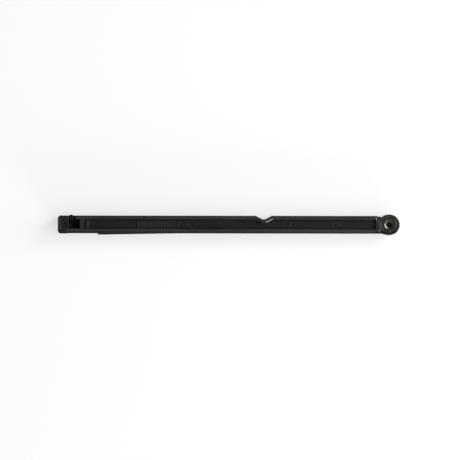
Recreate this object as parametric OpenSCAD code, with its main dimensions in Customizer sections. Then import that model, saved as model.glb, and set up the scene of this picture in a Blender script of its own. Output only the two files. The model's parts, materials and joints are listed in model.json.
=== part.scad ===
// Concealed door closer: a slim moulded bar whose eye fits over a square hinge pin.
// A heart cam in the eye drives a spring-loaded carriage, and a hydraulic damper slows its return.
// X runs along the bar towards the eye, and Z up through the open face. The origin is on the hinge
// axis, on the back face that the closer lies on. Sizes are in millimetres.

/* [Bar] */
// Distance from the hinge axis to the far end of the bar
bar_len = 298.2; // [270:0.1:360]
// Width of the bar
bar_w = 16; // [14:0.1:20]
// Height of the bar from its back face to the rims
bar_h = 16; // [15:0.1:20]
// Thickness of the side walls
wall = 1.8; // [1.4:0.1:2.2]
// Thickness of the rear cover
cover_t = 2; // [1.8:0.1:2.6]
// Depth of the open recess between the rims
recess_d = 3; // [2:0.1:3.4]
// Thickness of the recess floor
floor_t = 1.2; // [1:0.1:1.6]
// Width of the rim on the notched side
rim_w = 3.3; // [2.6:0.1:4]
// Width of the rim on the latch side, with its lower outer ledge
latch_rim_w = 4.2; // [3.4:0.1:4.8]
// Width of the lower outer ledge on the latch side
ledge_w = 2.1; // [1.2:0.1:2.4]

/* [Notch] */
// Distance from the hinge axis to the middle of the locating notch
notch_x = 113; // [111:0.1:115]
// Depth of the notch
notch_d = 3.2; // [2:0.1:3.6]
// Length of the flat at the bottom of the notch
notch_flat = 2.2; // [1:0.1:3]
// Slope of the notch's flanks, in degrees
notch_angle = 27; // [25:1:40]
// Width of the rim that runs round the notch
notch_rim = 3.3; // [2:0.1:3.6]

/* [Eye] */
// Radius of the eye
eye_r = 9.35; // [9.3:0.05:12]
// How far the eye's face lies below the rims
eye_drop = 1; // [0.5:0.1:1.5]
// Radius of the sleeve's bearing journal
journal_r = 6.9; // [6.6:0.05:7]
// Radius of the counterbore over the square socket
counterbore_r = 4.7; // [4.5:0.05:5]
// Depth of the counterbore
counterbore_d = 2; // [1:0.1:2.4]
// Side of the square socket for the hinge pin
socket_side = 4.7; // [4:0.1:5]
// Angle of the square socket to the bar, in degrees
socket_angle = 55; // [0:1:89]

/* [Cam drive] */
// Opening angle of the door, in degrees
open_deg = 115; // [90:1:118]
// Travel of the carriage over that angle
travel = 5.2; // [3:0.1:5.3]
// Distance of the roller from the hinge axis with the door closed
closed_r = 5.2; // [5.2:0.05:5.3]
// Radius of the cam roller
roller_r = 3; // [2.95:0.05:3.1]
// Length of the carriage's guided block
carriage_len = 10; // [8:0.1:13]
// Radius of the pull rod
rod_r = 1.5; // [1.2:0.05:1.8]

/* [Spring] */
// Mean radius of the closing spring
spring_r = 4; // [3.8:0.1:4.1]
// Wire diameter of the closing spring
spring_wire = 1.2; // [0.9:0.1:1.4]
// Turns of the closing spring
spring_turns = 20; // [14:1:24]

/* [Damper] */
// Outer radius of the damper cylinder
cylinder_r = 4.3; // [3.8:0.05:4.6]
// Wall thickness of the damper cylinder
cylinder_wall = 0.7; // [0.4:0.05:0.8]
// Length of the damper cylinder
cylinder_len = 82; // [72:1:98]
// Radius of the threaded anchor rod behind the damper
anchor_r = 2; // [1.6:0.05:2.2]
// Width across the flats of the anchor nut
nut_flats = 7; // [6:0.1:7.4]

/* [Latch and screws] */
// Length of the latch tongue
tongue_len = 73; // [50:0.1:80]
// How far the free end of the tongue stands out
tongue_out = 1.25; // [0.8:0.05:1.6]
// Height of the tongue
tongue_h = 6.6; // [4:0.1:7.5]
// Radius of the cover screws' shanks
screw_r = 1.1; // [0.8:0.05:1.3]
// Radius of the cover screws' heads
screw_head_r = 1.95; // [1.6:0.05:2.1]

/* [Fits] */
// Radial clearance of a bearing or a sliding shaft
run_gap = 0.05; // [0.02:0.01:0.1]
// Clearance beside a piece that slides without being guided
slide_gap = 0.2; // [0.15:0.01:0.3]
// Clearance of a piece that is fixed in its seat
seat_gap = 0.02; // [0.01:0.01:0.05]

/* [Hidden] */
$fn = 64;
over = 1;                                  // how far a cut runs past the face it opens
bite = 0.1;                                // how far joined shapes run into each other
half_w = bar_w / 2;
inner_w = half_w - wall;                   // half the width of the inner chamber
floor_z = bar_h - recess_d;
ceil_z = floor_z - floor_t;
eye_z = bar_h - eye_drop;
axis_z = (cover_t + ceil_z) / 2;           // height of the spring, the rods and the damper
recess_y0 = -half_w + latch_rim_w;
recess_y1 = half_w - rim_w;

// The bar's edges
slope_w = 1.4;                             // the slope outside the notched side's rim
edge_cut = 0.3;                            // width of the chamfers along the rims
end_cut = 0.9;                             // and at the rims' ends and beside the notch
cut_angle = 38;                            // slope of these chamfers, in degrees
ledge_z0 = bar_h - 1.9;
ledge_z1 = bar_h - 1;
neck_in = 0.5;                             // how much narrower the neck is on each side
neck_step = 0.5;
notch_rim_y = half_w - notch_d - notch_rim;
rim_flat = notch_flat / 2 + notch_rim * tan(notch_angle / 2);
notch_reach = rim_flat + (recess_y1 - notch_rim_y) / tan(notch_angle);
rim_ramp = 2.2;
rib_drop = 0.9;
strip_drop = 1.6;
groove_d = 0.7;

// Marks in the recess: place, radius and height of the lip; and a row of plain raised bars
marks = [[-178, 3.7, 0.25], [-92.5, 3.4, 0.25], [-48, 3, 0.1]];
mark_lip = 0.45;
mark_d = 0.2;
index_count = 12;
index_x0 = -226;
index_pitch = 2.9;
index_w = 0.8;
index_len = 4.8;
index_h = 0.3;

// Places along the bar, counted from the hinge axis
cap_x0 = -bar_len;
cap_len = 9.6;
shell_x0 = cap_x0 + cap_len + 0.1;         // where the housing's floor starts
latch_wall_x0 = shell_x0 - 2.5;            // the latch side's wall reaches further
notch_wall_x0 = shell_x0 + 4.3;            // and the notched side's less far
rim_x0 = shell_x0 + 5.6;
pocket_x1 = shell_x0 + 9.5;
anchor_wall_t = 3.6;
groove_x0 = pocket_x1 + 0.6 + anchor_wall_t;
strip_x0 = groove_x0 + 1.8;
strip_len = 2.7;
anchor_wall_x0 = groove_x0 - anchor_wall_t;
cross_bar_x0 = -12;
cross_bar_x1 = -8.4;
rim_x1 = -11.3;
chamber_x1 = -10.2;                        // the tall chamber ends here, before the eye
notch_wall_t = 3;                          // bulkheads on both sides of the notch
notch_room = 7.8 + wall / 2;               // from the notch's middle to a bulkhead
spring_wall_x = -notch_x + notch_room;
damper_wall_x = -notch_x - notch_room;     // the bulkhead's face towards the notch
damper_x1 = damper_wall_x - notch_wall_t;  // the damper's front face

// Levels in the eye, from the rear cover up
washer_t = 0.5;
washer_r = 5;
cam_z0 = cover_t + washer_t + run_gap;
cam_z1 = cam_z0 + 3.75;
flange_t = 0.65;
flange_r = journal_r + 0.7;
ledge_z = cam_z1 + flange_t + 0.1;         // the housing's ledge over the flange
cam_room_r = flange_r + 0.3;
socket_z0 = cam_z1 + flange_t + 0.7;
socket_z1 = eye_z - counterbore_d;
insert_r = counterbore_r - 0.4;
pivot_r = 2;                               // lower journal, in the rear cover
pivot_z0 = 0.7;
cam_gap = 0.02;                            // between the cam and the roller

// Carriage and spring, with the door closed
roller_z0 = cam_z0 + 0.15;
roller_h = cam_z1 - roller_z0 - 0.1;
carriage_x1 = -closed_r - roller_r - 6.8;  // front of the guided block
carriage_x0 = carriage_x1 - carriage_len;
spigot_len = 2.5;
nose_y = roller_r + 1.4;                   // half the width of the carriage's nose
clip_x = carriage_x0 + 3.8;                // where the clip holds the rod
clip_t = 0.8;
clip_r = rod_r + 1.4;
rod_groove_d = 0.3;
seat_t = 0.8;
spring_x1 = carriage_x0 - seat_t - seat_gap;
spring_x0 = spring_wall_x + seat_t + seat_gap;
spring_steps = 18;                         // rings of the wire in one turn
wire_sides = 8;

// Damper, with the grooves that hold its O-rings
bore_r = cylinder_r - cylinder_wall;
o_ring_t = 0.78;
o_groove_w = 1.2;
o_groove_r = bore_r - 0.8;
gland_t = 1.2;
cylinder_x1 = damper_x1 - gland_t;
cylinder_x0 = cylinder_x1 - cylinder_len;
guide_len = 6;
guide_ring_x = cylinder_x1 - 3;
seal_t = 2;
piston_t = 5;
ring_in = 1.6;                             // the piston ring's groove starts here
ring_t = 1.7;
ring_play = 0.05;
ring_groove_r = bore_r - 0.7;
piston_x1 = cylinder_x1 - 25;              // front face of the piston with the door closed
valve_t = 0.5;
valve_lift = 0.4;
piston_nut_t = 1.6;
piston_nut_r = 2.3;
valve_neck_r = rod_r - 0.3;                // the rod's steps that carry the valve disc and the piston
piston_neck_r = rod_r - 0.5;
plug_len = 6;
stem_len = 3;                              // the end plug's stem, which takes the anchor rod
anchor_in = 7;                             // how deep the rod's hole in the plug is
plug_x1 = cylinder_x0 + plug_len;
plug_ring_x = plug_x1 - 2.4;
stem_x0 = cylinder_x0 - gland_t - stem_len;
float_t = 4;                               // compensating piston
float_x1 = plug_x1 + 18;
float_ring_x = float_x1 - float_t / 2;
float_seat = 1;                            // how deep the spring sits in the piston
float_wire = 0.6;
float_spring_r = 2.6;
float_turns = 6;
anchor_x0 = anchor_wall_x0 - 6.4;
anchor_washer_t = 0.8;
anchor_washer_r = 3.9;
nut_t = 3;

// Latch tongue: it turns about a knuckle at its root
tongue_t = 1.7;
tongue_x1 = -bar_len + 35.1 + tongue_len;
tongue_y = -half_w + tongue_t / 2;
tongue_z = 7.3;                            // mid-height
tongue_tilt = asin(tongue_out / tongue_len);
tongue_gap = 0.4;
knuckle_gap = 0.08;

// Cover fastening
screw_x = [-notch_x, cylinder_x0 - 28.1, strip_x0 + 5];
screw_y = [-inner_w + 2, inner_w - 2, inner_w - 2];
screw_head_t = 1.1;
screw_sink = 0.1;                          // the heads lie this far inside the cover
screw_len = 8;
boss_r = 2;
hook_x = [-38, -84, -142, -178];
hook_w = 5;
hook_t = 1;
hook_h = 4.6;
barb_h = 1.4;
barb_out = 1;
nub_r = 1.95;
nub_out = 0.85;                            // how far the nub stands out
nub_len = 3.6;
plug_gap = 0.15;                           // beside the end cap's arms and the cover's hooks

black = [0.07, 0.07, 0.075];
dark = [0.12, 0.12, 0.13];
steel = [0.62, 0.63, 0.65];
olive = [0.36, 0.34, 0.27];
brass = [0.7, 0.56, 0.3];
white = [0.86, 0.86, 0.83];
rubber = [0.05, 0.05, 0.05];

// ---- Shapes that repeat ----

// A cylinder along X, from x towards the eye, at the height of the rods
module rod_x(x, r, len) {
    translate([x, 0, axis_z]) rotate([0, 90, 0]) cylinder(r = r, h = len);
}

// A ring along X
module ring_x(x, r_out, r_in, len) {
    difference() {
        rod_x(x, r_out, len);
        rod_x(x - over, r_in, len + 2 * over);
    }
}

// A box between two corners
module block(low, high) {
    translate(low) cube(high - low);
}

// The locating notch, grown by t all round
module notch_outline(t) {
    y = half_w - notch_d - t;
    top = half_w + over;
    flat = notch_flat / 2 + t * tan(notch_angle / 2);
    reach = flat + (top - y) / tan(notch_angle);
    translate([-notch_x, 0]) polygon([[-reach, top], [-flat, y], [flat, y], [reach, top]]);
}

module notch_prism(t, z0, z1) {
    translate([0, 0, z0]) linear_extrude(z1 - z0) notch_outline(t);
}

// A coil along X from x0 to x1, swept as a closed tube; its end turns lie closer together
function coil_advance(t, turns) =
    let (dead = 1 / turns, pitch = 0.5)
    t < dead ? t * pitch
    : t > 1 - dead ? 1 - (1 - t) * pitch
    : dead * pitch + (t - dead) * (1 - 2 * dead * pitch) / (1 - 2 * dead);

module coil_x(x0, x1, r, wire, turns) {
    rings = spring_steps * turns;
    len = x1 - x0 - wire;
    points = [for (i = [0:rings]) let (
            t = i / rings,
            a = 360 * turns * t,
            x = x0 + wire / 2 + len * coil_advance(t, turns))
        for (j = [0:wire_sides - 1]) let (
            b = 360 * j / wire_sides,
            s = r + wire / 2 * cos(b))
        [x + wire / 2 * sin(b), s * cos(a), axis_z + s * sin(a)]];
    sides = [for (i = [0:rings - 1], j = [0:wire_sides - 1]) let (
            a = i * wire_sides + j,
            b = i * wire_sides + (j + 1) % wire_sides)
        [a, b, b + wire_sides, a + wire_sides]];
    first = [for (j = [wire_sides - 1:-1:0]) j];
    last = [for (j = [0:wire_sides - 1]) rings * wire_sides + j];
    polyhedron(points, concat([first], sides, [last]));
}

// ---- Housing ----

// The bar's outer section in Y and Z: a sloped rim on one side, a lower ledge on the other
module bar_section() {
    polygon([[-half_w, cover_t], [-half_w, ledge_z0], [-half_w + ledge_w, ledge_z1],
        [-half_w + ledge_w, bar_h - edge_cut], [-half_w + ledge_w + edge_cut, bar_h],
        [half_w - slope_w, bar_h], [half_w - slope_w / 3, bar_h - slope_w / 3],
        [half_w, bar_h - slope_w], [half_w, cover_t]]);
}

// Takes a corner off along the top, from p to q
module top_edge_cut(p, q, size) {
    d = q - p;
    depth = size * tan(cut_angle);
    translate([p[0], p[1], bar_h]) rotate(atan2(d[1], d[0])) rotate([90, 0, 90])
        linear_extrude(norm(d)) polygon([[-size, 0], [0, -depth], [size, 0], [0, depth]]);
}

module bar_body() {
    difference() {
        translate([latch_wall_x0, 0, 0]) rotate([90, 0, 90])
            linear_extrude(cross_bar_x1 - latch_wall_x0) bar_section();
        // The left end steps back from the latch side to the notched side
        block([cap_x0, recess_y0, 0], [shell_x0, half_w + over, bar_h + over]);
        block([cap_x0, inner_w - 0.2, 0], [notch_wall_x0, half_w + over, bar_h + over]);
        block([cap_x0, recess_y1, floor_z], [rim_x0, half_w + over, bar_h + over]);
        translate([rim_x0, 0, floor_z]) rotate([90, 0, 0]) translate([0, 0, -half_w - over])
            linear_extrude(rim_w + 2 * over) polygon([[-over, over], [rim_ramp, recess_d + over],
                [-over, recess_d + over]]);
        // The notched side's rim ends earlier
        block([rim_x1, recess_y1 - over, eye_z], [0, half_w + over, bar_h + over]);
        block([rim_x1 + neck_step, half_w - neck_in, 0], [0, half_w + over, bar_h + over]);
        // Chamfers where the rim and the cross bar drop to the eye
        top_edge_cut([rim_x1, half_w + over], [rim_x1, recess_y1 - over], end_cut);
        top_edge_cut([cross_bar_x1, recess_y1], [cross_bar_x1, recess_y0 - edge_cut], edge_cut);
        top_edge_cut([cross_bar_x1, recess_y0], [cross_bar_x1, -half_w - over], end_cut);
        // Chamfers along the recess and round the notch
        top_edge_cut([rim_x0, recess_y1], [-notch_x - notch_reach, recess_y1], edge_cut);
        top_edge_cut([-notch_x + notch_reach, recess_y1], [rim_x1, recess_y1], edge_cut);
        top_edge_cut([shell_x0, recess_y0], [cross_bar_x0, recess_y0], edge_cut);
        top_edge_cut([-notch_x - notch_reach, recess_y1], [-notch_x - rim_flat, notch_rim_y], end_cut);
        top_edge_cut([-notch_x - rim_flat, notch_rim_y], [-notch_x + rim_flat, notch_rim_y], edge_cut);
        top_edge_cut([-notch_x + rim_flat, notch_rim_y], [-notch_x + notch_reach, recess_y1], end_cut);
    }
}

module eye_body() {
    edge = 0.6;
    translate([0, 0, cover_t]) cylinder(r = eye_r, h = eye_z - cover_t - edge, $fn = 96);
    translate([0, 0, eye_z - edge]) cylinder(r1 = eye_r, r2 = eye_r - edge, h = edge, $fn = 96);
    translate([0, 0, cover_t]) linear_extrude(eye_z - cover_t) neck_outline();
}

// The neck between the bar and the eye
module neck_outline() {
    lean = 70;                             // where the latch side's line runs into the eye
    r = eye_r - 0.1;
    polygon([[cross_bar_x0, -half_w + neck_in], [cross_bar_x1, -half_w + neck_in],
        [-r * cos(lean), -r * sin(lean)], [0, 0], [-half_w, half_w - neck_in],
        [cross_bar_x0, half_w - neck_in]]);
}

// The open recess, with the rim round the notch and the ribs at the far end left standing
module recess_cut() {
    difference() {
        block([shell_x0 - over, recess_y0, floor_z], [cross_bar_x0, recess_y1, bar_h + over]);
        notch_prism(notch_rim, floor_z - over, bar_h + 2 * over);
        block([anchor_wall_x0, recess_y0 - over, floor_z - over],
            [groove_x0, recess_y1 + over, bar_h - rib_drop]);
        block([strip_x0, recess_y0 - over, floor_z - over],
            [strip_x0 + strip_len, recess_y1 + over, bar_h - strip_drop]);
    }
}

module bulkhead(x0, x1, slot_r) {
    difference() {
        block([x0, -inner_w - bite, cover_t], [x1, inner_w + bite, ceil_z + bite]);
        rod_x(x0 - over, slot_r, x1 - x0 + 2 * over);
        block([x0 - over, -slot_r, 0], [x1 + over, slot_r, axis_z]);
    }
}

module screw_boss(x, y) {
    side = sign(y);
    intersection() {
        block([x - boss_r, min(side * inner_w, y - side * boss_r), cover_t],
            [x + boss_r, max(side * inner_w, y - side * boss_r), ceil_z + bite]);
        union() {
            translate([x, y, 0]) cylinder(r = boss_r, h = bar_h);
            block([x - boss_r, min(y, y + side * boss_r), 0],
                [x + boss_r, max(y, y + side * boss_r), bar_h]);
        }
    }
}

module chamber_cut() {
    rod_slot_r = rod_r + 0.4;
    difference() {
        block([latch_wall_x0 - over, -inner_w, 0], [chamber_x1, inner_w, ceil_z]);
        notch_prism(wall, 0, bar_h);
        bulkhead(spring_wall_x - notch_wall_t, spring_wall_x, rod_slot_r);
        bulkhead(damper_x1, damper_wall_x, rod_slot_r);
        bulkhead(anchor_wall_x0, groove_x0, anchor_r + 0.1);
        for (i = [0:len(screw_x) - 1]) screw_boss(screw_x[i], screw_y[i]);
    }
}

module housing() {
    index_x = [for (i = [0:index_count - 1]) index_x0 + i * index_pitch];
    recess_mid = (recess_y0 + recess_y1) / 2;
    pocket_in = 0.4;                           // pocket and groove stay clear of the rims
    pocket_out = 0.2;
    slant = 40;
    mouth_cut = [0.5, 0.35];                   // width and depth of the chamfer round the eye's bore
    color(black) difference() {
        union() {
            difference() {
                union() {
                    bar_body();
                    eye_body();
                }
                recess_cut();
                chamber_cut();
            }
            // Lips of the ejector marks and a row of plain raised index bars
            for (m = marks)
                translate([m[0], recess_mid, floor_z - bite]) difference() {
                    cylinder(r = m[1], h = bite + m[2]);
                    translate([0, 0, -over]) cylinder(r = m[1] - mark_lip, h = 3 * over);
                }
            for (x = index_x)
                block([x, recess_mid - index_len / 2, floor_z - bite],
                    [x + index_w, recess_mid + index_len / 2, floor_z + index_h]);
            translate([index_x0 + (index_count + 0.6) * index_pitch, recess_mid, floor_z - bite])
                rotate(-slant) block([-index_w / 2, -index_len / 2, 0],
                    [index_w / 2, index_len / 2, bite + 2 * index_h]);
        }
        // Pocket over the anchor nut
        block([shell_x0 - over, recess_y0 + pocket_in, ceil_z - over],
            [pocket_x1, recess_y1 + pocket_out, floor_z + over]);
        // Groove beyond the anchor wall
        block([groove_x0, recess_y0 + pocket_in, floor_z - groove_d],
            [strip_x0, recess_y1 - pocket_in, floor_z + over]);
        notch_prism(0, 0, bar_h + over);
        // Eye: journal bore, cam room and the passage of the carriage's nose
        cylinder(r = journal_r + run_gap, h = bar_h + over, $fn = 96);
        translate([0, 0, eye_z - mouth_cut[1]])
            cylinder(r1 = journal_r + run_gap, r2 = journal_r + run_gap + 2 * mouth_cut[0],
                h = 2 * mouth_cut[1], $fn = 96);
        cylinder(r = cam_room_r, h = ledge_z, $fn = 96);
        block([chamber_x1 - bite, -nose_y - 0.6, 0], [0, nose_y + 0.6, ledge_z]);
        // Sunken faces of the ejector marks
        for (m = marks)
            translate([m[0], recess_mid, floor_z - mark_d]) cylinder(r = m[1] - mark_lip, h = over);
        // Windows for the cover's hooks
        for (x = hook_x, side = [-1, 1])
            translate([x, side * half_w, cover_t + hook_h - barb_h / 2])
                cube([hook_w + 3 * slide_gap, 2 * wall + over, barb_h + 0.5], center = true);
        // Slot round the latch tongue, with a round seat for its knuckle
        tongue_slot();
        for (i = [0:len(screw_x) - 1])
            translate([screw_x[i], screw_y[i], 0])
                cylinder(r = screw_r + seat_gap, h = screw_len + over);
    }
}

module tongue_slot() {
    z0 = tongue_z - tongue_h / 2 - tongue_gap;
    z1 = tongue_z + tongue_h / 2 + tongue_gap;
    block([tongue_x1 - tongue_len - 2 * tongue_gap, -half_w - over, z0],
        [tongue_x1, -inner_w + over, z1]);
    translate([tongue_x1, tongue_y, z0]) cylinder(r = tongue_t / 2 + knuckle_gap, h = z1 - z0);
}

// ---- Covers and fixings ----

module cover_outline() {
    difference() {
        union() {
            translate([shell_x0, -half_w]) square([rim_x1 + neck_step - shell_x0, bar_w]);
            translate([rim_x1, -half_w]) square([cross_bar_x1 - rim_x1, bar_w - neck_in]);
            translate([latch_wall_x0, -half_w])
                square([shell_x0 - latch_wall_x0 + over, recess_y0 - bite + half_w]);
            neck_outline();
            circle(r = eye_r, $fn = 96);
        }
        notch_outline(0);
    }
}

module cover_hook(x, side) {
    root = 0.5;
    y = side * (inner_w - plug_gap);
    block([x - hook_w / 2, min(y, y - side * hook_t), cover_t - root],
        [x + hook_w / 2, max(y, y - side * hook_t), cover_t + hook_h]);
    // The barb's sloped face lets it spring into the window
    tip = 0.2;
    translate([x - hook_w / 2, y - side * tip, cover_t + hook_h]) rotate([90, 0, 90])
        linear_extrude(hook_w)
            polygon([[0, 0], [side * (barb_out + tip), -barb_h + 1.5 * tip],
                [side * (barb_out + tip), -barb_h + tip / 2], [0, -barb_h + tip / 2]]);
}

module rear_cover() {
    panels = [[-notch_x + 13, -16], [cylinder_x0, damper_x1], [screw_x[1] + 6, cylinder_x0 - 6],
        [screw_x[2] + 6, screw_x[1] - 6]];
    panel_side = 3.2;                      // left standing on both sides of a panel
    panel_d = 0.5;
    saddle_in = 12;
    saddle = [2, 6, 0.4];                  // its length and width, and how far it wraps the damper
    color(black) difference() {
        union() {
            linear_extrude(cover_t) cover_outline();
            for (x = hook_x, side = [-1, 1]) cover_hook(x, side);
            // Saddles under the damper
            for (x = [cylinder_x1 - saddle_in, cylinder_x0 + saddle_in])
                block([x - saddle[0] / 2, -saddle[1] / 2, cover_t - bite],
                    [x + saddle[0] / 2, saddle[1] / 2, axis_z - cylinder_r + saddle[2]]);
        }
        // Bearing of the sleeve's lower pivot
        translate([0, 0, pivot_z0 - run_gap]) cylinder(r = pivot_r + run_gap, h = cover_t);
        // Sunken panels that keep the wall even
        for (p = panels)
            block([p[0], -half_w + panel_side, -over], [p[1], half_w - panel_side, panel_d]);
        // The damper lies in the saddles
        rod_x(cylinder_x0, cylinder_r + seat_gap, cylinder_len);
        for (i = [0:len(screw_x) - 1]) translate([screw_x[i], screw_y[i], 0]) {
            translate([0, 0, -over]) cylinder(r = screw_r + slide_gap, h = cover_t + 2 * over);
            translate([0, 0, -over])
                cylinder(r = screw_head_r + slide_gap, h = screw_sink + screw_head_t + over);
        }
    }
}

module cover_screws() {
    slot = [2.4, 0.55, 0.7];
    color(dark) for (i = [0:len(screw_x) - 1])
        translate([screw_x[i], screw_y[i], screw_sink]) difference() {
        union() {
            cylinder(r = screw_head_r, h = screw_head_t);
            cylinder(r = screw_r, h = screw_len);
        }
        // Cross recess
        for (a = [0, 90]) rotate(a)
            translate([0, 0, -over]) cube([slot[0], slot[1], 2 * (over + slot[2])], center = true);
    }
}

module end_cap() {
    corner = 2.7;
    y0 = -half_w - 0.3;
    y1 = half_w - 0.05;
    top = bar_h - 0.4;
    arm_y = inner_w - plug_gap;
    arm_t = 1.1;
    arm_z0 = 4;
    arm_z1 = ceil_z - 1.2;
    skin = 2;
    mark_r = 1.9;
    mark_in = 1.5;
    field = [2.6, 0.5];                        // length and depth of the sunken field
    nub_in = 0.8;                              // the nub's roller ends short of the arm
    gap = 0.1;                                 // to the housing, which it butts against
    x1 = cap_x0 + cap_len;
    color(black) difference() {
        union() {
            // Block with two round corners, stepped back where the latch side's wall ends
            translate([cap_x0 + corner, y0 + corner, 0]) cylinder(r = corner, h = top);
            translate([cap_x0 + corner, y1 - corner, 0]) cylinder(r = corner, h = top);
            block([cap_x0 + corner, y0, 0], [latch_wall_x0 - gap, recess_y0, top]);
            block([cap_x0 + corner, recess_y0 - over, 0], [x1, y1, top]);
            block([cap_x0, y0 + corner, 0], [cap_x0 + corner + gap, y1 - corner, top]);
            // Arms that plug into the chamber
            for (side = [-1, 1])
                block([latch_wall_x0 - over, min(side * arm_y, side * (arm_y - arm_t)), arm_z0],
                    [anchor_wall_x0 - 0.5, max(side * arm_y, side * (arm_y - arm_t)), arm_z1]);
            // Nub that snaps into the door's trim
            block([x1 - gap, arm_y - arm_t, arm_z0], [x1 + nub_len, half_w - 0.2, arm_z1]);
            translate([x1 + nub_len / 2, half_w + nub_out - nub_r, arm_z0 + nub_in])
                cylinder(r = nub_r, h = arm_z1 - arm_z0 - 2 * nub_in);
        }
        // Clear of the housing's longer wall on the latch side, and of the cover under it
        block([latch_wall_x0 - gap, y0 - over, -over], [shell_x0 + over, recess_y0, arm_z0 - gap]);
        block([latch_wall_x0 - gap, y0 - over, -over], [x1 + gap, -inner_w + 0.05, bar_h + over]);
        block([latch_wall_x0 - gap, -inner_w - over, ceil_z - gap],
            [x1 + gap, recess_y0 + gap, bar_h + over]);
        // Round mark and a flat sunken field in the top
        translate([x1 - mark_r - over, 0.2, top - mark_in]) cylinder(r = mark_r, h = mark_in + over);
        block([cap_x0 + skin, -half_w + 3.4, top - field[1]],
            [cap_x0 + skin + field[0], half_w - 3, top + over]);
        // Hollow back, which keeps the wall even
        block([cap_x0 + skin, -half_w + skin, -over], [x1 - 3, half_w - skin - 0.2, bar_h - 7]);
    }
}

// The real tongue is moulded with the housing: its thin root bends, as this knuckle turns
module latch_tongue() {
    frame = 1.2;                               // left standing round the thinned middle
    thin = [6, 10, 0.3];                       // its distance from both ends, and its depth
    lead = 30;                                 // slope of the free end, in degrees
    color(black) translate([tongue_x1, tongue_y, tongue_z - tongue_h / 2]) {
        cylinder(r = tongue_t / 2, h = tongue_h);
        rotate(tongue_tilt) difference() {
            block([-tongue_len, -tongue_t / 2, 0], [0, tongue_t / 2, tongue_h]);
            // The free end slopes inwards
            translate([-tongue_len, -tongue_t / 2, -over]) rotate(-lead)
                block([-over, -over, 0], [0, 2 * tongue_t, tongue_h + 2 * over]);
            block([-tongue_len + thin[0], tongue_t / 2 - thin[2], frame],
                [-thin[1], tongue_t, tongue_h - frame]);
        }
    }
}

module thrust_washer() {
    color(brass) translate([0, 0, cover_t]) difference() {
        cylinder(r = washer_r, h = washer_t);
        translate([0, 0, -over]) cylinder(r = pivot_r + 0.1, h = washer_t + 2 * over);
    }
}

// ---- Cam sleeve ----

// Radius of the roller's path at cam angle p: it rises evenly while the door opens, then returns
rise_end = open_deg + 6;
rise = travel * rise_end / open_deg;
function path_r(p) =
    p <= rise_end ? closed_r + travel * p / open_deg
    : p <= 180 ? closed_r + rise
    : closed_r + rise * (360 - p) / 180;
function path_slope(p) =
    p <= rise_end ? travel / open_deg * 180 / PI
    : p <= 180 ? 0
    : -rise / PI;
// A point of the cam: the path moved inwards by the roller's radius, square to the path
function cam_point(p) =
    let (r = path_r(p), s = path_slope(p), d = (roller_r + cam_gap) / sqrt(r * r + s * s))
    [-(r - d * r) * cos(p) + d * s * sin(p), (r - d * r) * sin(p) + d * s * cos(p)];

module cam_profile() {
    out = [for (p = [0:2.5:rise_end - 2.6]) cam_point(p)];
    top = [for (p = [rise_end + 3:5:178]) cam_point(p)];
    back = [for (p = [182.5:3.75:360]) cam_point(p)];
    // The valley in which the roller rests is round, about the roller's centre
    start = atan2(cam_point(360)[1], cam_point(360)[0] + closed_r);
    end = atan2(cam_point(0)[1], cam_point(0)[0] + closed_r);
    valley = [for (i = [1:7]) let (a = start + (end - start) * i / 8)
        [-closed_r + (roller_r + cam_gap) * cos(a), (roller_r + cam_gap) * sin(a)]];
    polygon(concat(out, top, back, valley));
}

module cam_sleeve() {
    edge = [0.7, 0.5];                         // width and depth of the chamfer round the face
    ring = [journal_r - 1.2, journal_r - 0.85, 0.25];  // the face groove's radii and depth
    color(dark) difference() {
        union() {
            translate([0, 0, cam_z0]) linear_extrude(cam_z1 - cam_z0 + bite) cam_profile();
            translate([0, 0, cam_z1]) cylinder(r = flange_r, h = flange_t, $fn = 96);
            translate([0, 0, cam_z1]) cylinder(r = journal_r, h = eye_z - cam_z1 - edge[1], $fn = 96);
            translate([0, 0, eye_z - edge[1]])
                cylinder(r1 = journal_r, r2 = journal_r - edge[0], h = edge[1], $fn = 96);
            translate([0, 0, pivot_z0]) cylinder(r = pivot_r, h = cam_z0 - pivot_z0 + bite);
        }
        translate([0, 0, socket_z1]) cylinder(r = counterbore_r, h = counterbore_d + over, $fn = 96);
        translate([0, 0, socket_z0]) cylinder(r = insert_r + seat_gap, h = bar_h, $fn = 96);
        // Shallow ring groove in the face
        translate([0, 0, eye_z - ring[2]]) difference() {
            cylinder(r = ring[1], h = over);
            cylinder(r = ring[0], h = over);
        }
    }
}

module drive_socket() {
    lead = 1;                                  // depth of the conical lead-in
    lead_r = socket_side / 2 + 0.15;
    rim = 0.1;
    color(olive) difference() {
        translate([0, 0, socket_z0]) cylinder(r = insert_r, h = socket_z1 - socket_z0, $fn = 96);
        translate([0, 0, socket_z0 - over]) rotate(socket_angle)
            linear_extrude(bar_h) square(socket_side, center = true);
        translate([0, 0, socket_z1 - lead])
            cylinder(r1 = lead_r, r2 = insert_r - rim, h = lead + 0.001, $fn = 96);
    }
}

// ---- Carriage train ----

module cam_roller() {
    edge = 0.25;
    color(steel) translate([-closed_r, 0, roller_z0]) {
        cylinder(r1 = roller_r - edge, r2 = roller_r, h = edge);
        translate([0, 0, edge]) cylinder(r = roller_r, h = roller_h - 2 * edge);
        translate([0, 0, roller_h - edge]) cylinder(r1 = roller_r, r2 = roller_r - edge, h = edge);
    }
}

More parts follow.
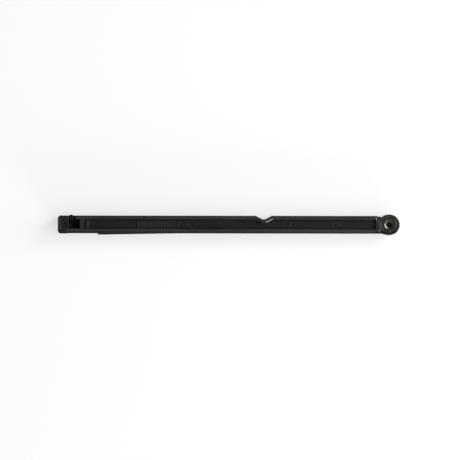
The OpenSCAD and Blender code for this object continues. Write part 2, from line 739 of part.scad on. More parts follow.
module carriage() {
    nose_top = roller_z0 + roller_h;
    rod_in = 7.5;                              // depth of the rod's bore
    clip_room = [0.2, 3.2];                    // beside the clip, and its reach from the rod's axis
    grease = 0.8;                              // side of the grease grooves
    grease_in = [2, 2.5];
    hollow = [3.4, 3.4, 0.8];                  // over the nose: length, half width, floor
    side = inner_w - slide_gap;
    z0 = cover_t + slide_gap;
    z1 = ceil_z - slide_gap;
    color(white) difference() {
        union() {
            block([carriage_x0, -side, z0], [carriage_x1, side, z1]);
            block([carriage_x1 - bite, -nose_y, roller_z0], [-closed_r + 0.4, nose_y, nose_top]);
            rod_x(carriage_x0 - spigot_len, spring_r - spring_wire / 2 - 0.2, spigot_len + bite);
        }
        // Cradle of the roller
        translate([-closed_r, 0, 0]) cylinder(r = roller_r + run_gap, h = bar_h);
        // Bore and pocket that take the rod and its clip
        rod_x(carriage_x0 - spigot_len - over, rod_r + seat_gap, spigot_len + rod_in + over);
        block([clip_x - clip_room[0], -clip_room[1], 0],
            [clip_x + clip_t + clip_room[0], clip_room[1], axis_z + clip_room[1]]);
        // Grease grooves in the sliding sides
        for (x = [carriage_x0 + grease_in[0], carriage_x1 - grease_in[1]], s = [-1, 1])
            translate([x, s * side, axis_z]) cube([grease, grease, 2 * bar_h], center = true);
        block([carriage_x1 - hollow[0], -hollow[1], nose_top + hollow[2]],
            [carriage_x1 + over, hollow[1], z1 - 1.2]);
    }
}

module rod_clip() {
    mouth = rod_r - 0.5;                       // half the width of the clip's mouth
    color(steel) difference() {
        rod_x(clip_x, clip_r, clip_t);
        rod_x(clip_x - over, rod_r - rod_groove_d + seat_gap, clip_t + 2 * over);
        block([clip_x - over, -mouth, 0], [clip_x + clip_t + over, mouth, axis_z]);
    }
}

module front_spring_seat() {
    color(steel) ring_x(carriage_x0 - seat_t, spring_r + spring_wire / 2 + 0.2,
        spring_r - spring_wire / 2 - 0.1, seat_t - seat_gap);
}

module closing_spring() {
    color(steel) coil_x(spring_x0, spring_x1, spring_r, spring_wire, spring_turns);
}

module rear_spring_seat() {
    color(steel) ring_x(spring_wall_x + seat_gap, spring_r + spring_wire / 2 + 0.2, rod_r + 0.3,
        seat_t - seat_gap);
}

module pull_rod() {
    x1 = carriage_x0 + 7.2;
    clip_play = 0.05;
    shoulder_x = piston_x1 + valve_t + valve_lift;
    nut_x = piston_x1 - piston_t - piston_nut_t;
    color(steel) difference() {
        union() {
            rod_x(shoulder_x, rod_r, x1 - shoulder_x);
            rod_x(piston_x1, valve_neck_r, shoulder_x - piston_x1 + bite);
            rod_x(nut_x, piston_neck_r, piston_x1 - nut_x + bite);
        }
        // Groove for the clip
        ring_x(clip_x - clip_play, rod_r + over, rod_r - rod_groove_d, clip_t + 2 * clip_play);
    }
}

// ---- Damper ----

module damper_cylinder() {
    color(steel) ring_x(cylinder_x0, cylinder_r, bore_r, cylinder_len);
}

module rod_guide() {
    color(white) difference() {
        union() {
            rod_x(cylinder_x1 + seat_gap, cylinder_r, gland_t - seat_gap);
            rod_x(cylinder_x1 - guide_len, bore_r - seat_gap, guide_len + bite);
        }
        rod_x(cylinder_x1 - guide_len - over, rod_r + run_gap, guide_len + gland_t + 2 * over);
        ring_x(guide_ring_x - o_groove_w / 2, bore_r + over, o_groove_r, o_groove_w);
    }
}

// O-ring in a groove, along X
module o_ring(x, r_out, width) {
    w = width / 2;
    translate([x, 0, axis_z]) rotate([0, 90, 0]) rotate_extrude()
        translate([r_out - w, 0]) circle(r = w, $fn = 24);
}

module guide_seal() {
    color(rubber) o_ring(guide_ring_x, bore_r - seat_gap, o_ring_t - seat_gap);
}

module rod_seal() {
    x = cylinder_x1 - guide_len - seal_t - seat_gap;
    lip = [0.7, 0.6, 0.9];                     // outer and inner lip, and depth between them
    color(rubber) difference() {
        ring_x(x, bore_r - seat_gap, rod_r + run_gap, seal_t);
        ring_x(x - over, bore_r - lip[0], rod_r + lip[1], over + lip[2]);
    }
}

module damper_piston() {
    x0 = piston_x1 - piston_t;
    passage_r = 0.4;
    passage_out = 1.9;                         // from the piston's axis
    color(white) difference() {
        rod_x(x0, bore_r - run_gap, piston_t - seat_gap);
        rod_x(x0 - over, piston_neck_r + seat_gap, piston_t + 2 * over);
        ring_x(x0 + ring_in, bore_r + over, ring_groove_r, ring_t + 2 * ring_play);
        // Oil passages that the valve disc covers
        for (a = [0:90:270]) translate([x0 - over, 0, axis_z]) rotate([a + 45, 0, 0])
            translate([0, 0, passage_out]) rotate([0, 90, 0])
                cylinder(r = passage_r, h = piston_t + 2 * over);
    }
}

module piston_ring() {
    x = piston_x1 - piston_t + ring_in + ring_play;
    split = 0.15;                              // half the width of the ring's gap
    color(brass) difference() {
        ring_x(x, bore_r - 0.03, ring_groove_r + seat_gap, ring_t);
        block([x - over, -split, axis_z], [x + ring_t + over, split, axis_z + 2 * bore_r]);
    }
}

// The disc shuts the piston's passages when the door closes, and lifts off them when it opens
module valve_disc() {
    x = piston_x1 + seat_gap;
    r = bore_r - 0.5;
    slot = [0.5, 0.8];                         // depth and half width of the slots in its edge
    color(steel) difference() {
        ring_x(x, r, valve_neck_r + run_gap, valve_t - seat_gap);
        for (s = [-1, 1]) block([x - over, min(s * (r - slot[0] + 0.2), s * bore_r), axis_z - slot[1]],
            [x + over, max(s * (r - slot[0] + 0.2), s * bore_r), axis_z + slot[1]]);
    }
}

module piston_nut() {
    x = piston_x1 - piston_t - piston_nut_t;
    color(steel) difference() {
        translate([x, 0, axis_z]) rotate([0, 90, 0])
            cylinder(r = piston_nut_r, h = piston_nut_t - seat_gap, $fn = 6);
        rod_x(x - over, piston_neck_r + seat_gap, piston_nut_t + 2 * over);
    }
}

module floating_piston() {
    color(white) difference() {
        rod_x(float_x1 - float_t, bore_r - run_gap, float_t);
        ring_x(float_ring_x - o_groove_w / 2, bore_r + over, o_groove_r, o_groove_w);
        rod_x(float_x1 - float_t - over, float_spring_r + float_wire / 2 + 0.1, float_seat + over);
    }
}

module floating_seal() {
    color(rubber) o_ring(float_ring_x, bore_r - run_gap, o_ring_t - run_gap);
}

module floating_spring() {
    color(steel) coil_x(plug_x1 + seat_gap, float_x1 - float_t + float_seat - seat_gap,
        float_spring_r, float_wire, float_turns);
}

module damper_end_plug() {
    color(white) difference() {
        union() {
            rod_x(cylinder_x0 - gland_t, cylinder_r, gland_t - seat_gap);
            rod_x(cylinder_x0 - bite, bore_r - seat_gap, plug_len + bite);
            rod_x(stem_x0, anchor_r + 1.2, stem_len + bite);
        }
        rod_x(stem_x0 - over, anchor_r + seat_gap, anchor_in + over);
        ring_x(plug_ring_x - o_groove_w / 2, bore_r + over, o_groove_r, o_groove_w);
    }
}

module plug_seal() {
    color(rubber) o_ring(plug_ring_x, bore_r - seat_gap, o_ring_t - seat_gap);
}

module anchor_rod() {
    x1 = stem_x0 + anchor_in - 0.1;
    edge = 0.4;
    color(dark) {
        rod_x(anchor_x0 + edge, anchor_r, x1 - anchor_x0 - edge);
        translate([anchor_x0, 0, axis_z]) rotate([0, 90, 0])
            cylinder(r1 = anchor_r - edge, r2 = anchor_r, h = edge);
    }
}

module anchor_washer() {
    color(dark) ring_x(anchor_wall_x0 - anchor_washer_t, anchor_washer_r, anchor_r + seat_gap,
        anchor_washer_t - seat_gap);
}

module anchor_nut() {
    x = anchor_wall_x0 - anchor_washer_t - nut_t;
    color(dark) difference() {
        translate([x, 0, axis_z]) rotate([0, 90, 0])
            cylinder(r = nut_flats / sqrt(3), h = nut_t - seat_gap, $fn = 6);
        rod_x(x - over, anchor_r + seat_gap, nut_t + 2 * over);
    }
}

housing();
rear_cover();
cover_screws();
end_cap();
latch_tongue();
thrust_washer();
cam_sleeve();
drive_socket();
cam_roller();
carriage();
rod_clip();
front_spring_seat();
closing_spring();
rear_spring_seat();
pull_rod();
damper_cylinder();
rod_guide();
guide_seal();
rod_seal();
damper_piston();
piston_ring();
valve_disc();
piston_nut();
floating_piston();
floating_seal();
floating_spring();
damper_end_plug();
plug_seal();
anchor_rod();
anchor_washer();
anchor_nut();
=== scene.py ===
"""Looks of the concealed door closer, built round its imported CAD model."""

import json
import math

import bpy
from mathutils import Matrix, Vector


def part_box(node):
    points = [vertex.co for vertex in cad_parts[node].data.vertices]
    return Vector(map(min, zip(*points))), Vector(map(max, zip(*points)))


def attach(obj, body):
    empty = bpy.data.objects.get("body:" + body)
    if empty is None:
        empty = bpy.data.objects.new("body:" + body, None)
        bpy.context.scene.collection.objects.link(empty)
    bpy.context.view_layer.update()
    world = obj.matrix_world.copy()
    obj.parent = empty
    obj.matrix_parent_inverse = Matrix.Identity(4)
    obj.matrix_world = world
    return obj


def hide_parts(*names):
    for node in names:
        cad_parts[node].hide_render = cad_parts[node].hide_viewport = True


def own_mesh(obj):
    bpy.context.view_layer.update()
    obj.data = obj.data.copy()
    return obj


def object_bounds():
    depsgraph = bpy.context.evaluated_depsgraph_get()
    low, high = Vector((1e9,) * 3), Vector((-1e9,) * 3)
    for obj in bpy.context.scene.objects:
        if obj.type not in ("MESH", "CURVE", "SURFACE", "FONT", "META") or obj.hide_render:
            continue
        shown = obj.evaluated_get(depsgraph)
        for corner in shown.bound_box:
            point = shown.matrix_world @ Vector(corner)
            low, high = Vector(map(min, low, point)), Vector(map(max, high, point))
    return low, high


MM = 0.001

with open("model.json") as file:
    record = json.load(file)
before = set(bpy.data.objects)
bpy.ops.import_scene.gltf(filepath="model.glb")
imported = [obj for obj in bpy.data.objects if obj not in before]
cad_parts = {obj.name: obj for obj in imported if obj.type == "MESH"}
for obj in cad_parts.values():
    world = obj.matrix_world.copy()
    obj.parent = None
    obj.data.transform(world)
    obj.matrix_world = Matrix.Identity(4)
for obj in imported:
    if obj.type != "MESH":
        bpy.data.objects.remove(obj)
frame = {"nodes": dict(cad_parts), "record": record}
cad_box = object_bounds()
nodes = frame["nodes"]
# Heights of the rims and of the recessed floor, and where the lower ledge begins across the bar
rim_height = cad_box[1].z
recess_height = rim_height - 3 * MM
ledge_y = -5.8 * MM


# ---- Node helpers ----


class Nodes:
    """Builds one node tree, with a short way to add and join nodes."""

    def __init__(self, tree):
        self.tree = tree
        self.tree.nodes.clear()

    def add(self, kind, links=None, **settings):
        node = self.tree.nodes.new(kind)
        for key, value in settings.items():
            setattr(node, key, value)
        for socket, value in (links or {}).items():
            target = node.inputs[socket]
            if isinstance(value, bpy.types.NodeSocket):
                self.tree.links.new(value, target)
            else:
                target.default_value = value
        return node

    def noise(self, vector, scale, detail=3.0, roughness=0.5, distortion=0.0):
        values = {
            "Vector": vector,
            "Scale": scale,
            "Detail": detail,
            "Roughness": roughness,
            "Distortion": distortion,
        }
        return self.add("ShaderNodeTexNoise", values).outputs["Fac"]

    def spots(self, vector, scale):
        values = {"Vector": vector, "Scale": scale}
        return self.add("ShaderNodeTexVoronoi", values).outputs["Distance"]

    def stretch(self, vector, scale):
        values = {"Vector": vector, "Scale": scale}
        return self.add("ShaderNodeMapping", values).outputs["Vector"]

    def ramp(self, factor, *stops):
        """A colour ramp. Each stop is its place and a grey value or a colour."""
        node = self.add("ShaderNodeValToRGB", {"Fac": factor})
        elements = node.color_ramp.elements
        while len(elements) < len(stops):
            elements.new(1.0)
        for element, (place, colour) in zip(elements, stops):
            if isinstance(colour, (int, float)):
                colour = (colour,) * 3
            element.position = place
            element.color = (*colour, 1.0)
        return node.outputs["Color"]

    def math(self, operation, a, b=0.0, clamp=False):
        node = self.add("ShaderNodeMath", {0: a, 1: b}, operation=operation)
        node.use_clamp = clamp
        return node.outputs["Value"]

    def mix(self, factor, a, b):
        node = self.add("ShaderNodeMix", data_type="RGBA")
        for index, value in ((0, factor), (6, a), (7, b)):
            if isinstance(value, bpy.types.NodeSocket):
                self.tree.links.new(value, node.inputs[index])
            elif index:
                node.inputs[index].default_value = (*value, 1.0)
            else:
                node.inputs[index].default_value = value
        return node.outputs[2]

    def map(self, value, low, high, start=0.0, end=1.0):
        values = {
            "Value": value,
            "From Min": start,
            "From Max": end,
            "To Min": low,
            "To Max": high,
        }
        return self.add("ShaderNodeMapRange", values).outputs["Result"]

    def bump(self, height, depth, strength, normal=None):
        """A bump of that depth in metres."""
        values = {"Height": height, "Distance": depth, "Strength": strength}
        if normal is not None:
            values["Normal"] = normal
        return self.add("ShaderNodeBump", values).outputs["Normal"]


def new_material(name):
    material = bpy.data.materials.new(name)
    material.use_nodes = True
    n = Nodes(material.node_tree)
    coords = n.add("ShaderNodeTexCoord").outputs["Object"]
    return material, n, coords


def finish_material(n, **values):
    """Ends the tree in a Principled shader. A number is set on its socket, a socket is joined."""
    shader = n.add("ShaderNodeBsdfPrincipled")
    for name, value in values.items():
        socket = shader.inputs[name.replace("_", " ")]
        if isinstance(value, bpy.types.NodeSocket):
            n.tree.links.new(value, socket)
        else:
            socket.default_value = value
    n.add("ShaderNodeOutputMaterial", {"Surface": shader.outputs["BSDF"]})


def rounded(n, radius):
    """The normal with edges rounded to that radius, and how near an edge the point is, from 0 to 1."""
    bevel = n.add("ShaderNodeBevel", {"Radius": radius}, samples=8).outputs["Normal"]
    flat = n.add("ShaderNodeNewGeometry").outputs["Normal"]
    dot = n.add("ShaderNodeVectorMath", {0: bevel, 1: flat}, operation="DOT_PRODUCT")
    edge = n.math("SUBTRACT", 1.0, dot.outputs["Value"])
    return bevel, n.math("MULTIPLY", edge, 4.0, clamp=True)


def upward(n):
    """1 where the surface faces up, 0 on walls."""
    normal = n.add("ShaderNodeNewGeometry").outputs["Normal"]
    z = n.add("ShaderNodeSeparateXYZ", {"Vector": normal}).outputs["Z"]
    return n.map(z, 0.0, 1.0, 0.75, 0.95)


def height_band(n, coords, low, high, soft=0.08 * MM):
    """1 between two heights in the frame."""
    z = n.add("ShaderNodeSeparateXYZ", {"Vector": coords}).outputs["Z"]
    above = n.map(z, 0.0, 1.0, low - soft, low + soft)
    below = n.map(z, 1.0, 0.0, high - soft, high + soft)
    return n.math("MULTIPLY", above, below)


# ---- Materials ----


def black_plastic(name, dark, light, worn_and_lit, roughness, grain):
    """Moulded black plastic: flow marks, a fine eroded texture, faint scratches and paler edges, which
    are partly wear and partly a painted edge highlight.

    The flats of the rims are paled partly by rubbed wear and partly by painted light, the raised marks
    by painted light. Corners, walls and the ledge are darkened with painted shade.
    """
    material, n, coords = new_material(name)
    bevel, edge = rounded(n, 0.22 * MM)
    face = upward(n)
    rims = n.math("MULTIPLY", face, height_band(n, coords, rim_height - 0.3 * MM, rim_height + MM))
    lower = height_band(n, coords, recess_height + 1.2 * MM, rim_height - 0.7 * MM)
    across = n.add("ShaderNodeSeparateXYZ", {"Vector": coords}).outputs["Y"]
    inner = n.map(across, 0.0, 1.0, ledge_y - 0.1 * MM, ledge_y + 0.1 * MM)
    lower = n.math("MULTIPLY", face, lower)
    ledge = n.math("MULTIPLY", lower, n.math("SUBTRACT", 1.0, inner))
    lower = n.math("MULTIPLY", lower, inner)
    rims = n.math("MAXIMUM", rims, n.math("MULTIPLY", lower, 0.7))
    marks = height_band(n, coords, recess_height + 0.12 * MM, recess_height + 0.9 * MM)
    marks = n.math("MULTIPLY", face, marks)
    shelter = n.add("ShaderNodeAmbientOcclusion", {"Distance": 2.4 * MM}, samples=8)
    openness = n.map(shelter.outputs["AO"], 0.2, 1.0, 0.4, 0.95)
    along = n.stretch(coords, (0.35, 1.0, 1.0))
    cloud = n.noise(along, 70, 4.0, 0.6, 0.8)
    flow = n.noise(n.stretch(coords, (0.08, 1.0, 1.0)), 620, 3.0, 0.55)
    fine = n.noise(coords, 9000, 2.0, 0.6)
    pits = n.spots(coords, 5200)
    scratch = n.noise(n.stretch(coords, (0.03, 1.0, 1.0)), 2600, 2.0, 0.5, 0.3)
    scratches = n.ramp(scratch, (0.66, 0.0), (0.7, 1.0))

    body = n.mix(n.ramp(cloud, (0.35, 0.0), (0.7, 1.0)), dark, light)
    body = n.mix(n.math("MULTIPLY", flow, 0.35), body, light)
    shadow = tuple(c * 0.2 for c in dark)
    # Painted shade: corners, recesses and walls are darkened towards the shadow colour, by the
    # ambient-occlusion term and by how far the surface turns from facing up.
    body = n.mix(n.math("MULTIPLY", openness, n.map(face, 0.3, 1.0)), shadow, body)
    # Painted shade on the lower ledge.
    body = n.mix(n.math("MULTIPLY", ledge, 0.8), body, shadow)
    # The rim flats are paled by rubbed wear and by painted light, the raised marks by painted light.
    rubbed_and_lit = n.math("MULTIPLY", rims, n.map(cloud, 0.15, 0.45, 0.3, 0.7))
    pale = n.math("MAXIMUM", rubbed_and_lit, n.math("MULTIPLY", marks, 0.5))
    body = n.mix(pale, body, worn_and_lit)
    # Paler edges: partly wear, partly a painted edge highlight.
    edge_wear_and_glint = n.math("MULTIPLY", edge, n.map(n.noise(coords, 900, 4.0), 0.1, 0.8))
    colour = n.mix(n.math("MULTIPLY", edge_wear_and_glint, 0.3), body, worn_and_lit)
    colour = n.mix(n.math("MULTIPLY", scratches, 0.12), colour, worn_and_lit)

    gloss = n.map(n.noise(along, 240, 5.0, 0.65), roughness - 0.07, roughness + 0.1)
    gloss = n.math("ADD", gloss, n.map(flow, -0.03, 0.03))
    height = n.math("ADD", n.math("MULTIPLY", fine, 0.6), n.math("MULTIPLY", pits, 0.5))
    height = n.math("SUBTRACT", height, n.math("MULTIPLY", scratches, 0.4))
    normal = n.bump(height, grain, 0.5, bevel)
    finish_material(
        n,
        Base_Color=colour,
        Roughness=gloss,
        Normal=normal,
        IOR=1.5,
        Specular_IOR_Level=0.4,
    )
    return material


def steel(name, base, tint, roughness, streaks, depth=0.004 * MM, metallic=1.0):
    """Metal with streaks of grinding or drawing, smudges of oil and paler edges."""
    material, n, coords = new_material(name)
    bevel, edge = rounded(n, 0.12 * MM)
    drawn = n.noise(n.stretch(coords, streaks), 900, 4.0, 0.65)
    smudge = n.noise(coords, 160, 5.0, 0.6, 1.2)
    specks = n.ramp(n.noise(coords, 4200, 2.0), (0.62, 0.0), (0.7, 1.0))
    colour = n.mix(n.ramp(smudge, (0.3, 0.0), (0.75, 1.0)), base, tint)
    colour = n.mix(n.math("MULTIPLY", drawn, 0.4), colour, tint)
    colour = n.mix(n.math("MULTIPLY", specks, 0.25), colour, tuple(c * 0.4 for c in base))
    pale = tuple(min(1.0, c * 1.5 + 0.05) for c in base)
    colour = n.mix(n.math("MULTIPLY", edge, 0.5), colour, pale)
    gloss = n.math("ADD", n.map(drawn, roughness - 0.08, roughness + 0.08), n.map(smudge, -0.05, 0.07))
    height = n.math("ADD", drawn, n.math("MULTIPLY", specks, -0.3))
    normal = n.bump(height, depth, 0.6, bevel)
    finish_material(n, Base_Color=colour, Roughness=gloss, Normal=normal, Metallic=metallic)
    return material


def sintered(name):
    """Pressed and sintered metal, oiled: small open pores and a mottled olive-grey film."""
    material, n, coords = new_material(name)
    bevel, edge = rounded(n, 0.1 * MM)
    pores = n.spots(n.stretch(coords, (1.0, 1.0, 0.8)), 3800)
    open_pores = n.ramp(pores, (0.05, 1.0), (0.22, 0.0))
    film = n.noise(coords, 420, 5.0, 0.6, 0.9)
    grain = n.noise(coords, 7000, 3.0)
    oiled = n.ramp(film, (0.3, 0.0), (0.7, 1.0))
    colour = n.mix(oiled, (0.1, 0.097, 0.08), (0.17, 0.166, 0.14))
    colour = n.mix(n.math("MULTIPLY", open_pores, 0.7), colour, (0.06, 0.055, 0.04))
    colour = n.mix(n.math("MULTIPLY", edge, 0.45), colour, (0.4, 0.395, 0.37))
    gloss = n.map(n.noise(coords, 800, 4.0), 0.18, 0.3)
    height = n.math("SUBTRACT", n.math("MULTIPLY", grain, 0.4), open_pores)
    finish_material(
        n,
        Base_Color=colour,
        Roughness=gloss,
        Normal=n.bump(height, 0.02 * MM, 0.6, bevel),
        Metallic=0.85,
    )
    return material


def acetal(name):
    """Natural acetal: off-white, slightly waxy, with faint flow marks and specks."""
    material, n, coords = new_material(name)
    bevel, edge = rounded(n, 0.15 * MM)
    flow = n.noise(n.stretch(coords, (0.3, 1.0, 1.0)), 300, 4.0, 0.6, 1.0)
    specks = n.ramp(n.noise(coords, 3000, 2.0), (0.68, 0.0), (0.74, 1.0))
    colour = n.mix(flow, (0.78, 0.77, 0.71), (0.87, 0.87, 0.83))
    colour = n.mix(n.math("MULTIPLY", specks, 0.3), colour, (0.55, 0.52, 0.44))
    colour = n.mix(n.math("MULTIPLY", edge, 0.3), colour, (0.93, 0.93, 0.9))
    gloss = n.map(n.noise(coords, 700, 4.0), 0.3, 0.46)
    normal = n.bump(n.noise(coords, 5200, 3.0), 0.006 * MM, 0.5, bevel)
    finish_material(
        n,
        Base_Color=colour,
        Roughness=gloss,
        Normal=normal,
        Subsurface_Weight=0.15,
        Subsurface_Scale=0.5 * MM,
    )
    return material


def seal_rubber(name):
    """Black rubber with a little grey dust."""
    material, n, coords = new_material(name)
    dust = n.ramp(n.noise(coords, 1800, 4.0), (0.5, 0.0), (0.8, 1.0))
    colour = n.mix(n.math("MULTIPLY", dust, 0.4), (0.02, 0.02, 0.021), (0.075, 0.073, 0.07))
    gloss = n.map(n.noise(coords, 500, 4.0), 0.45, 0.68)
    normal = n.bump(n.noise(coords, 6500, 3.0), 0.01 * MM, 0.5)
    finish_material(n, Base_Color=colour, Roughness=gloss, Normal=normal)
    return material


looks = {
    "black_plastic": black_plastic(
        "black_plastic",
        dark=(0.004, 0.004, 0.0043),
        light=(0.012, 0.012, 0.0124),
        worn_and_lit=(0.05, 0.05, 0.051),
        roughness=0.34,
        grain=0.004 * MM,
    ),
    "sleeve_plastic": black_plastic(
        "sleeve_plastic",
        dark=(0.008, 0.008, 0.0084),
        light=(0.017, 0.017, 0.0175),
        worn_and_lit=(0.06, 0.06, 0.062),
        roughness=0.32,
        grain=0.003 * MM,
    ),
    "sintered_metal": sintered("sintered_metal"),
    "bright_steel": steel(
        "bright_steel", (0.6, 0.61, 0.63), (0.46, 0.46, 0.47), 0.26, (0.05, 1.0, 1.0)
    ),
    "spring_steel": steel(
        "spring_steel", (0.33, 0.335, 0.35), (0.22, 0.22, 0.22), 0.38, (1.0, 0.3, 0.3)
    ),
    "black_steel": steel(
        "black_steel", (0.045, 0.045, 0.05), (0.028, 0.027, 0.028), 0.36, (0.4, 1.0, 1.0), metallic=0.9
    ),
    "acetal": acetal("acetal"),
    "seal_rubber": seal_rubber("seal_rubber"),
    "bronze": steel("bronze", (0.62, 0.43, 0.2), (0.45, 0.3, 0.14), 0.34, (1.0, 1.0, 0.2)),
}

# Every CAD node gets the material of its slot
for part in frame["record"]["subparts"]:
    mesh = nodes[part["node"]].data
    mesh.materials.clear()
    mesh.materials.append(looks[part["material_slot"]])


# ---- Pieces made here ----


def make_piece(name, points, faces, look):
    """A smooth-shaded piece, from points in millimetres."""
    mesh = bpy.data.meshes.new(name)
    mesh.from_pydata([Vector(p) * MM for p in points], [], faces)
    mesh.validate()
    mesh.materials.append(looks[look])
    mesh.polygons.foreach_set("use_smooth", [True] * len(mesh.polygons))
    piece = bpy.data.objects.new(name, mesh)
    bpy.context.scene.collection.objects.link(piece)
    return piece


def loft(rings, joined=False):
    """Points and faces of a skin over rings with the same number of points.

    The two ends are capped, or joined to each other.
    """
    count = len(rings[0])
    points = [p for ring in rings for p in ring]
    faces = []
    spans = len(rings) if joined else len(rings) - 1
    for i in range(spans):
        a, b = i * count, ((i + 1) % len(rings)) * count
        for j in range(count):
            k = (j + 1) % count
            faces.append((a + j, a + k, b + k, b + j))
    if not joined:
        faces.append(tuple(range(count - 1, -1, -1)))
        faces.append(tuple((len(rings) - 1) * count + j for j in range(count)))
    return points, faces


def helix_rings(x0, x1, middle, radius, wire, turns, steps, sides, dead):
    """Rings of a coil along X. The dead turns at both ends lie close together, and are ground flat."""
    rings = []
    length = x1 - x0
    dead_pitch = wire * 0.86
    free = length - (2 * dead + 1) * dead_pitch
    half = wire / 2
    for i in range(int(turns * steps) + 1):
        turn = i / steps
        closed = min(turn, dead) + max(0.0, turn - (turns - dead))
        open_turns = min(max(turn - dead, 0.0), turns - 2 * dead)
        share = open_turns / (turns - 2 * dead)
        ease = share - math.sin(2 * math.pi * share) * 0.012
        x = x0 + half * 0.6 + closed * dead_pitch + ease * free
        angle = 2 * math.pi * turn
        out = Vector((0, math.cos(angle), math.sin(angle)))
        ring = []
        for j in range(sides):
            b = 2 * math.pi * j / sides
            p = Vector((x, 0, middle)) + out * (radius + half * math.cos(b))
            p.x = min(max(p.x + half * math.sin(b), x0), x1)
            ring.append(p)
        rings.append(ring)
    return rings


def coil(name, node, radius, wire, turns, steps, dead):
    """A smooth round-wire spring in the place of a CAD coil, from one end of its box to the other."""
    low, high = (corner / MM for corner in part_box(node))
    middle = (low.z + high.z) / 2
    rings = helix_rings(low.x, high.x, middle, radius, wire, turns, steps, 14, dead)
    piece = make_piece(name, *loft(rings), "spring_steel")
    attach(piece, "housing")
    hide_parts(node)
    return piece, low.x * MM, (high.x - low.x) * MM


def shorten(piece, joint, end, length):
    """Gives the coil its own copy of its mesh; the coil is not shortened."""
    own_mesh(piece)


main_coil = coil("closing_coil", "closing_spring", 4.0, 1.2, 20, 40, 1.25)
shorten(main_coil[0], "carriage_slide", *main_coil[1:])
small_coil = coil("compensating_coil", "floating_spring", 2.6, 0.6, 6, 36, 1.0)
shorten(small_coil[0], "floater_slide", *small_coil[1:])


def threaded_anchor():
    """The anchor rod, with a rolled thread on the stretch that takes its nut."""
    low, high = (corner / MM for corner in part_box("anchor_rod"))
    middle = (low.z + high.z) / 2
    radius = (high.z - low.z) / 2
    pitch, depth, sides, thread = 0.7, 0.38, 40, 24.0
    rings = []

    def ring(x, r_of):
        rings.append(
            [
                (x, r_of(a) * math.cos(a), middle + r_of(a) * math.sin(a))
                for a in (2 * math.pi * j / sides for j in range(sides))
            ]
        )

    steps = int(thread / pitch * 8)
    for i in range(steps + 1):
        x = low.x + thread * i / steps
        run_in = min(1.0, (thread - (x - low.x)) / 1.5)
        tip = max(0.0, 0.5 - (x - low.x))

        def flank(a, x=x, run_in=run_in, tip=tip):
            wave = abs(((x - low.x) / pitch - a / (2 * math.pi)) % 1.0 - 0.5) * 2
            wave = min(1.0, max(0.0, wave * 1.25 - 0.125))
            return min(radius - depth * wave * run_in, radius - tip)

        ring(x, flank)
    ring(low.x + thread + 0.05, lambda a: radius)
    ring(high.x, lambda a: radius)
    piece = make_piece("anchor_rod_threaded", *loft(rings), "black_steel")
    piece.data.set_sharp_from_angle(angle=math.radians(35))
    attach(piece, "housing")
    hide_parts("anchor_rod")


def chamfered_nut():
    """The anchor nut, with its corners turned off at both faces."""
    low, high = (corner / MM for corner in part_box("anchor_nut"))
    middle = (low.z + high.z) / 2
    corner = max(high.z - low.z, high.y - low.y) / 2
    flat = corner * math.cos(math.pi / 6)
    bore = (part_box("anchor_rod")[1].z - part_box("anchor_rod")[0].z) / MM / 2 + 0.02
    length = high.x - low.x
    # The CAD's corners point along Y or along Z, whichever way its box is larger
    turn = 0.0 if high.z - low.z < high.y - low.y else math.pi / 6
    sides = 96

    def hexagon(angle):
        off = (angle - turn) % (math.pi / 3) - math.pi / 6
        return flat / math.cos(off)

    def ring(x, limit, hole=False):
        points = []
        for j in range(sides):
            a = 2 * math.pi * j / sides
            r = limit if hole else min(hexagon(a), limit)
            points.append((x, r * math.cos(a), middle + r * math.sin(a)))
        return points

    rise = (corner - flat) * 0.58
    face = flat * 0.985
    bevel = 0.25
    steps = 5
    rings = [ring(low.x, bore + bevel, True), ring(low.x, face)]
    for i in range(1, steps + 1):
        rings.append(ring(low.x + rise * i / steps, face + (corner - face) * i / steps))
    for i in range(steps, 0, -1):
        rings.append(ring(high.x - rise * i / steps, face + (corner - face) * i / steps))
    rings += [ring(high.x, face), ring(high.x, bore + bevel, True)]
    rings.append(ring(high.x - bevel, bore, True))
    rings.append(ring(low.x + min(bevel, length / 4), bore, True))
    piece = make_piece("anchor_nut_chamfered", *loft(rings, joined=True), "black_steel")
    piece.data.set_sharp_from_angle(angle=math.radians(20))
    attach(piece, "housing")
    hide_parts("anchor_nut")


threaded_anchor()
chamfered_nut()


# ---- Studio ----


def floor_material():
    """White paper, lit a little from behind as on a light table."""
    material, n, coords = new_material("studio_paper")
    fibre = n.noise(coords, 900, 4.0)
    colour = n.mix(fibre, (0.35, 0.35, 0.35), (0.37, 0.369, 0.368))
    finish_material(
        n,
        Base_Color=colour,
        Roughness=0.85,
        Normal=n.bump(fibre, 0.01 * MM, 0.3),
        Emission_Color=(1.0, 1.0, 1.0, 1.0),
        Emission_Strength=0.6,
    )
    return material


def make_floor():
    side = 4.0
    mesh = bpy.data.meshes.new("studio_floor")
    corners = [(-side, -side, 0), (side, -side, 0), (side, side, 0), (-side, side, 0)]
    mesh.from_pydata(corners, [], [(0, 1, 2, 3)])
    mesh.materials.append(floor_material())
    floor = bpy.data.objects.new("studio_floor", mesh)
    floor.location.z = cad_box[0].z - 0.05 * MM
    bpy.context.scene.collection.objects.link(floor)


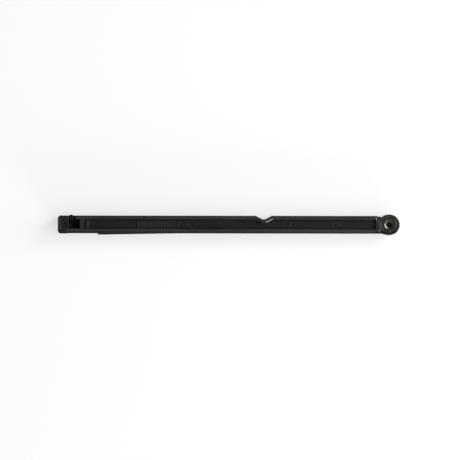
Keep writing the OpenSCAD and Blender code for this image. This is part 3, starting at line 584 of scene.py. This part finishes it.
def make_world():
    """A room whose walls are brightest high up, dark straight overhead, and brighter to the right."""
    world = bpy.data.worlds.new("studio")
    bpy.context.scene.world = world
    world.use_nodes = True
    n = Nodes(world.node_tree)
    direction = n.add("ShaderNodeTexCoord").outputs["Generated"]
    xyz = n.add("ShaderNodeSeparateXYZ", {"Vector": direction}).outputs
    height = xyz["Z"]
    # The long walls beside the bar are darker than those past its ends
    beside = n.map(n.math("ABSOLUTE", xyz["Y"]), 1.0, 0.25, 0.1, 0.75)
    walls = n.ramp(height, (0.0, 0.3), (0.4, 0.85), (0.75, 1.0), (0.9, 0.3), (1.0, 0.08))
    towards_light = n.add(
        "ShaderNodeVectorMath", {0: direction, 1: (0.95, -0.3, 0.0)}, operation="DOT_PRODUCT"
    )
    side = n.map(towards_light.outputs["Value"], 0.15, 1.85, -0.7, 0.7)
    colour = n.math("MULTIPLY", n.math("MULTIPLY", walls, side), beside)
    back = n.add("ShaderNodeBackground", {"Color": colour, "Strength": 1.7})
    n.add("ShaderNodeOutputWorld", {"Surface": back.outputs["Background"]})


def soft_box(name, azimuth, elevation, distance, width, height, power):
    """A rectangular lamp that looks at the middle of the part from that side."""
    light = bpy.data.lights.new(name, "AREA")
    light.shape = "RECTANGLE"
    light.size, light.size_y = width, height
    light.energy = power
    lamp = bpy.data.objects.new(name, light)
    a, e = math.radians(azimuth), math.radians(elevation)
    back = Vector((math.cos(a) * math.cos(e), math.sin(a) * math.cos(e), math.sin(e)))
    lamp.location = centre + back * distance
    lamp.rotation_euler = back.to_track_quat("Z", "Y").to_euler()
    bpy.context.scene.collection.objects.link(lamp)


def make_camera(x, y, turn, view_width, distance):
    """Looks straight down from that distance, and takes in that width."""
    data = bpy.data.cameras.new("camera")
    data.sensor_width = 36.0
    data.lens = data.sensor_width * distance / view_width
    data.clip_start, data.clip_end = 0.05, 20.0
    camera = bpy.data.objects.new("camera", data)
    camera.location = (x, y, cad_box[1].z - 2 * MM + distance)
    camera.rotation_euler = (0, 0, math.radians(turn))
    bpy.context.scene.collection.objects.link(camera)
    bpy.context.scene.camera = camera


centre = (cad_box[0] + cad_box[1]) / 2
make_floor()
make_world()
soft_box("key_front_right", -62, 11, 1.25, 0.4, 0.2, 11.0)
soft_box("key_right", 8, 15, 1.25, 0.8, 0.24, 6.0)
soft_box("glint", 30, 33, 1.3, 0.36, 0.26, 6.0)
make_camera(-143.4 * MM, -4.85 * MM, turn=0.1, view_width=414 * MM, distance=1.5)
bpy.context.scene.view_settings.view_transform = "Standard"
